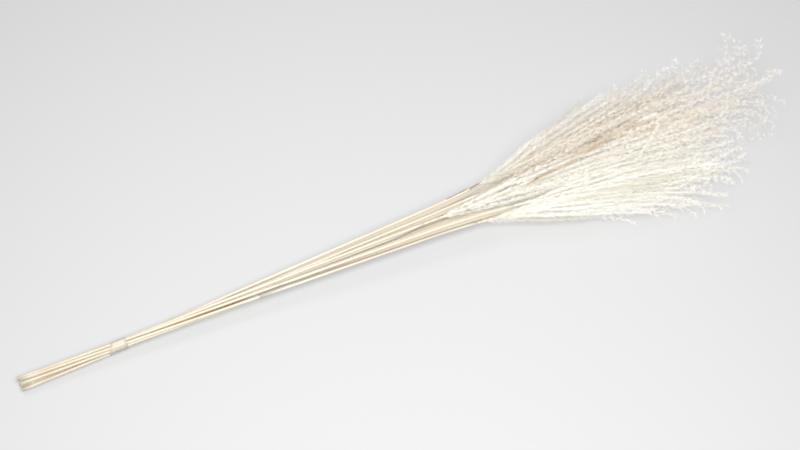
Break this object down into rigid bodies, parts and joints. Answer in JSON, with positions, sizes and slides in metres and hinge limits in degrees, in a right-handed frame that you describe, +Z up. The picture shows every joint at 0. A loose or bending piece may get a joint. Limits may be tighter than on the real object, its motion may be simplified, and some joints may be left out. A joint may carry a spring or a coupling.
{
  "type": "bundle of dried miscanthus",
  "caption": "Bundle of dried, bleached miscanthus stalks with feathery plumes, bound near the cut ends with clear tape and lying on its side.",
  "frame": {"origin": "middle of the bundle's box, on the surface it lies on", "axes": "+X along the bundle from the cut ends to the tips of the plumes, +Y to the left, +Z up from the surface"},
  "size_m": [0.8012, 0.1626, 0.0751],
  "materials": {
    "stem": "smooth, slightly glossy bleached straw with fine lengthwise streaks",
    "plume": "matt to silky ivory, fine hairs",
    "tape": "clear glossy film that looks pale beige over the straw"
  },
  "bodies": {
    "root": {"stem_01": "stem", "stem_02": "stem", "stem_03": "stem", "stem_04": "stem", "stem_05": "stem", "stem_06": "stem", "stem_07": "stem", "stem_08": "stem", "stem_09": "stem", "stem_10": "stem", "plume_01": "plume", "plume_02": "plume", "plume_03": "plume", "plume_04": "plume", "plume_05": "plume", "plume_06": "plume", "plume_07": "plume", "plume_08": "plume", "plume_09": "plume", "plume_10": "plume", "tie": "tape"}
  },
  "joints": []
}
